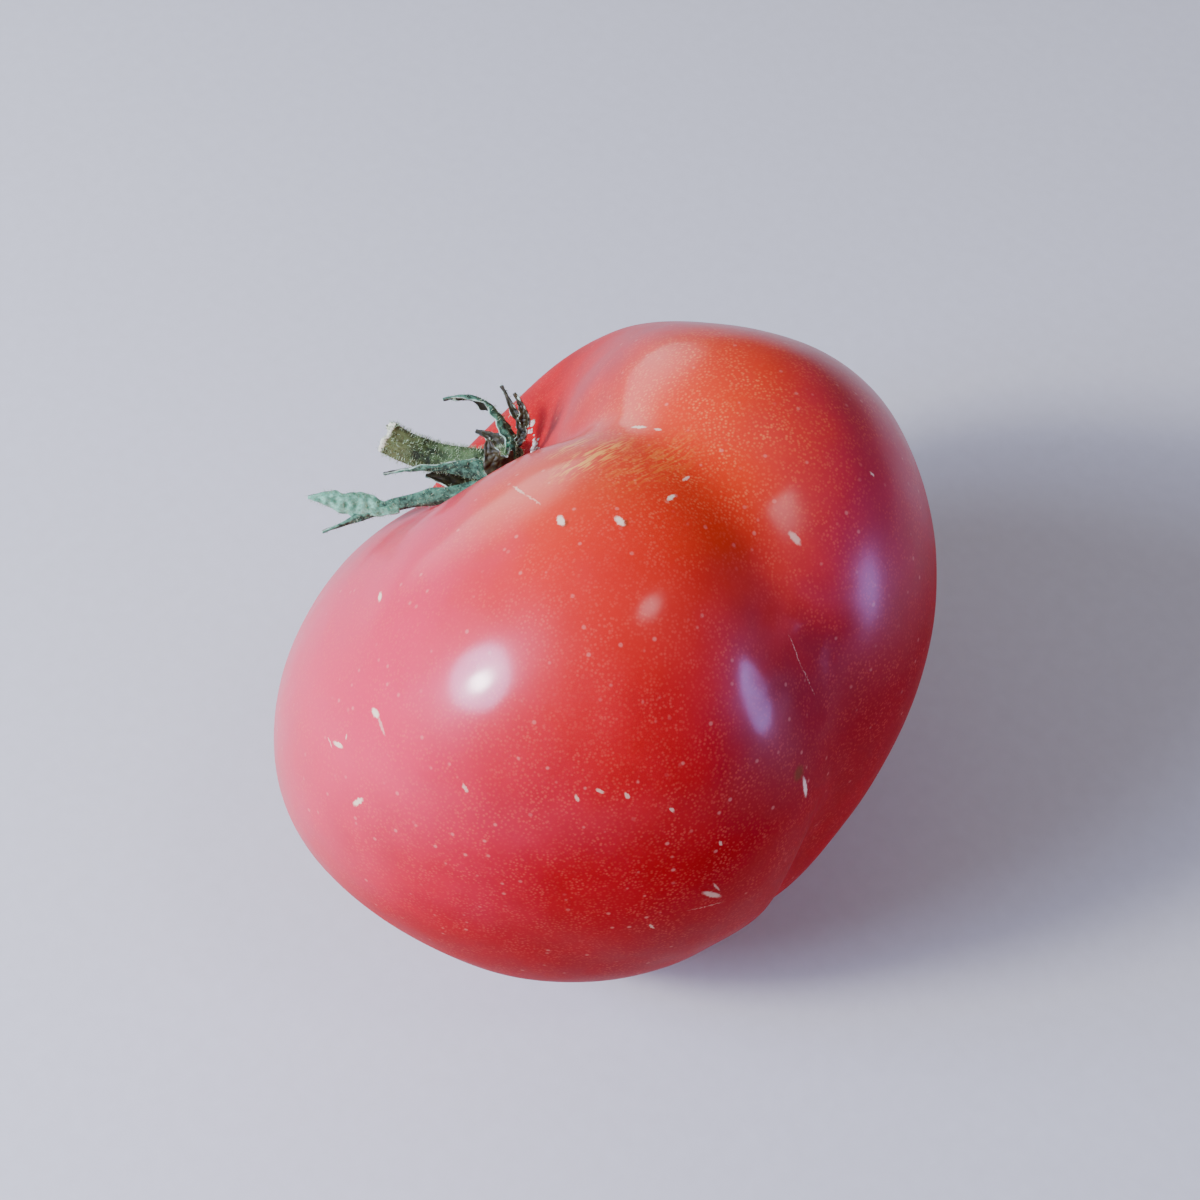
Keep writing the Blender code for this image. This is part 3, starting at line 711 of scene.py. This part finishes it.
deselect()
crumbs = []
chance = random.Random(5)
for middle, reach, count in CRUMB_GROUPS:
    for _ in range(count):
        pixel = [chance.gauss(at, spread) for at, spread in zip(middle, reach)]
        place, normal = on_skin(pixel)
        bpy.ops.mesh.primitive_ico_sphere_add(
            subdivisions=2, radius=chance.uniform(*CRUMB_RADII) * MM, location=place)
        crumb = bpy.context.object
        for vert in crumb.data.vertices:
            flat = vert.co - normal * (0.5 * vert.co.dot(normal))
            vert.co = flat * (1.0 + 0.5 * noise.noise((vert.co + place) / CRUMB_LUMP))
        crumbs.append(crumb)
for crumb in crumbs:
    crumb.select_set(True)
bpy.context.view_layer.objects.active = crumbs[0]
bpy.ops.object.join()
cork = bpy.context.object
cork.name = "pit_cork"
bpy.ops.object.transform_apply(location=True)
cork.data.shade_smooth()
cork.data.materials.append(cork_material())
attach(cork, "root")


# Hairs: short pale hairs that stand off the stalk and the outer faces of the sepals, grown from the
# skin. Each is a tiny bent three-sided cone with its root sunk in the skin.
HAIR_ROOT = 0.05 * MM
STEM_HAIRS = (2600, 0.65, 0.07, 11)   # count, length and thickness in mm, seed
SEPAL_HAIRS = (2200, 0.55, 0.06, 12)


def hair_coat(name, carriers, count, length, thickness, seed, slots=(0,)):
    chance = random.Random(seed)
    spots = []
    for carrier in carriers:
        for face in carrier.data.polygons:
            if face.material_index in slots:
                spots.append((face.area, face.center.copy(), face.normal.copy()))
    chosen = chance.choices(spots, weights=[spot[0] for spot in spots], k=count)
    verts, faces = [], []
    for _, root, normal in chosen:
        side = normal.orthogonal().normalized()
        side = Matrix.Rotation(chance.uniform(0.0, 2.0 * math.pi), 3, normal) @ side
        lean = (normal + side * chance.uniform(0.2, 0.9)).normalized()
        tall = length * chance.uniform(0.45, 1.2) * MM
        middle = root + lean * (0.55 * tall)
        tip = middle + (lean + side * chance.uniform(0.0, 0.6)).normalized() * (0.45 * tall)
        start = len(verts)
        for at, wide in ((root - normal * HAIR_ROOT, 1.0), (middle, 0.7)):
            for corner in range(3):
                around = Matrix.Rotation(2.0 * math.pi / 3.0 * corner, 3, lean) @ side
                verts.append(at + around * (0.5 * thickness * wide * MM))
        verts.append(tip)
        faces.append((start, start + 2, start + 1))
        for corner in range(3):
            after = (corner + 1) % 3
            faces.append((start + corner, start + after, start + 3 + after, start + 3 + corner))
            faces.append((start + 3 + corner, start + 3 + after, start + 6))
    mesh = bpy.data.meshes.new(name)
    mesh.from_pydata(verts, [], faces)
    coat = bpy.data.objects.new(name, mesh)
    bpy.context.scene.collection.objects.link(coat)
    choose(coat)
    bpy.ops.object.mode_set(mode='EDIT')
    bpy.ops.mesh.select_all(action='SELECT')
    bpy.ops.mesh.normals_make_consistent(inside=False)
    bpy.ops.object.mode_set(mode='OBJECT')
    return coat


# Plant hair, grown: fine, dry and translucent, so the eye sees a pale green fuzz.
def hair_material(name, dark, light):
    material, tree, shader = new_material(name)
    coords = add(tree, "ShaderNodeTexCoord").outputs["Object"]
    tone = add(tree, "ShaderNodeTexNoise", (("Vector", coords),
                                            ("Scale", 1.0 / (0.4545 * MM)))).outputs["Fac"]
    hair = blend_colour(tree, ramp(tree, tone, 0.4, 0.6), colour(dark), colour(light))
    tree.links.new(hair, shader.inputs["Base Color"])
    shader.inputs["Roughness"].default_value = 0.6
    return material


plant_hair = hair_material("pale_plant_hair", "#7f996c", "#bccfa2")
stem_hairs = hair_coat("stem_hairs", [stem], *STEM_HAIRS)
leaf_hairs = hair_coat("sepal_hairs", blades + [hub], *SEPAL_HAIRS, slots=(0, 2))
for coat, material_slot in ((stem_hairs, "green_stem"), (leaf_hairs, "dried_sepal")):
    coat.data.materials.append(plant_hair)
    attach(coat, "root")


# Floor: plain, pale and matt, painted, with a faint unevenness of about 2.5 mm.
FLOOR_SIZE = 4.0
deselect()
bpy.ops.mesh.primitive_plane_add(size=FLOOR_SIZE)
floor = bpy.context.object
floor.name = "floor"
material, tree, shader = new_material("matt_pale_floor")
grain = add(tree, "ShaderNodeTexNoise", (
    ("Vector", add(tree, "ShaderNodeTexCoord").outputs["Object"]), 
    ("Scale", 1.0 / (2.5 * MM)))).outputs["Fac"]
tree.links.new(blend_colour(tree, grain, colour("#cfcbc5"), colour("#d6d3ce")),
               shader.inputs["Base Color"])
shader.inputs["Roughness"].default_value = 0.85
shader.inputs["Specular IOR Level"].default_value = 0.2
floor.data.materials.append(material)


# Light: a soft sky, bright on the left, with a soft-edged glow for each dull sheen on the skin, and
# three lamps for its gleams. The lamps and the glows stand where the skin mirrors them to the eye.
SKY_WAY = Vector((-0.55, -0.62, 0.52)).normalized()
SKY_DIM = 0.11
SKY_BRIGHT = 0.56
SKY_FULL = 0.97                       # cosine of the angle within which the sky is fully bright
SHOULDER_SHEEN = (508, 497)
FRONT_SHEEN = (650, 608)
MAIN_GLEAM = (480, 680)
MAIN_CORE = (480, 682)
COOL_GLEAM = (757, 700)
GLEAM_REACH = 12                      # pixels over which the skin's slope is averaged
# Middle of each glow as mirrored, reach in pixels, spread in degrees, strength.
GLOWS = ((SHOULDER_SHEEN, 6, 25.0, 3.9), (FRONT_SHEEN, GLEAM_REACH, 8.0, 9.0))


def mirror_way(pixel, reach):
    """Where a pixel of the picture shows the skin, and the way in which the skin mirrors there."""
    place = on_skin(pixel)[0]
    normals = [on_skin((pixel[0] + dx, pixel[1] + dy))[1]
               for dx in (-reach, 0, reach) for dy in (-reach, 0, reach)]
    normal = sum(normals, Vector()).normalized()
    view = (eye - place).normalized()
    return place, (2.0 * normal.dot(view) * normal - view).normalized()


world = bpy.data.worlds.new("studio")
bpy.context.scene.world = world
world.use_nodes = True
tree = world.node_tree
way = add(tree, "ShaderNodeTexCoord").outputs["Generated"]
towards = add(tree, "ShaderNodeVectorMath", ((0, way), (1, SKY_WAY)), operation='DOT_PRODUCT')
strength = ramp(tree, towards.outputs["Value"], 0.0, SKY_FULL, SKY_DIM, SKY_BRIGHT)
for pixel, reach, spread, glow in GLOWS:
    towards = add(tree, "ShaderNodeVectorMath", ((0, way), (1, mirror_way(pixel, reach)[1])),
                  operation='DOT_PRODUCT')
    lobe = ramp(tree, towards.outputs["Value"], math.cos(math.radians(spread)), 1.0, 0.0, glow)
    strength = maths(tree, 'ADD', strength, lobe)
tree.nodes["Background"].inputs["Color"].default_value = colour("#f2f3f6")
tree.links.new(strength, tree.nodes["Background"].inputs["Strength"])


def mirror_lamp(name, pixel, distance, size, power, tint, lean=0.0, shape=1.0):
    """A lamp placed so that its reflection shows at a pixel of the picture. It is an oval that is
    narrowed by shape along the way that leans by this angle from the picture's right."""
    place, way = mirror_way(pixel, GLEAM_REACH)
    lamp_data = bpy.data.lights.new(name, 'AREA')
    lamp_data.shape = 'ELLIPSE'
    lamp_data.size = size * shape
    lamp_data.size_y = size
    lamp_data.energy = power
    lamp_data.color = colour(tint)[:3]
    lamp = bpy.data.objects.new(name, lamp_data)
    bpy.context.scene.collection.objects.link(lamp)
    leaning = right * math.cos(math.radians(lean)) + up * math.sin(math.radians(lean))
    narrow = (leaning - way * leaning.dot(way)).normalized()
    turned = Matrix((narrow, way.cross(narrow), way)).transposed().to_4x4()
    lamp.matrix_world = Matrix.Translation(place + way * distance) @ turned


# Distance and size in metres, power in watts.
mirror_lamp("window_lamp", MAIN_GLEAM, 0.70, 0.47, 11.0, "#b8c8ff", lean=25.0, shape=0.55)
mirror_lamp("key_lamp", MAIN_CORE, 0.66, 0.13, 4.4, "#fdfdff", lean=25.0, shape=0.5)
mirror_lamp("cool_lamp", COOL_GLEAM, 0.80, 0.34, 5.2, "#a09eff", shape=0.65)
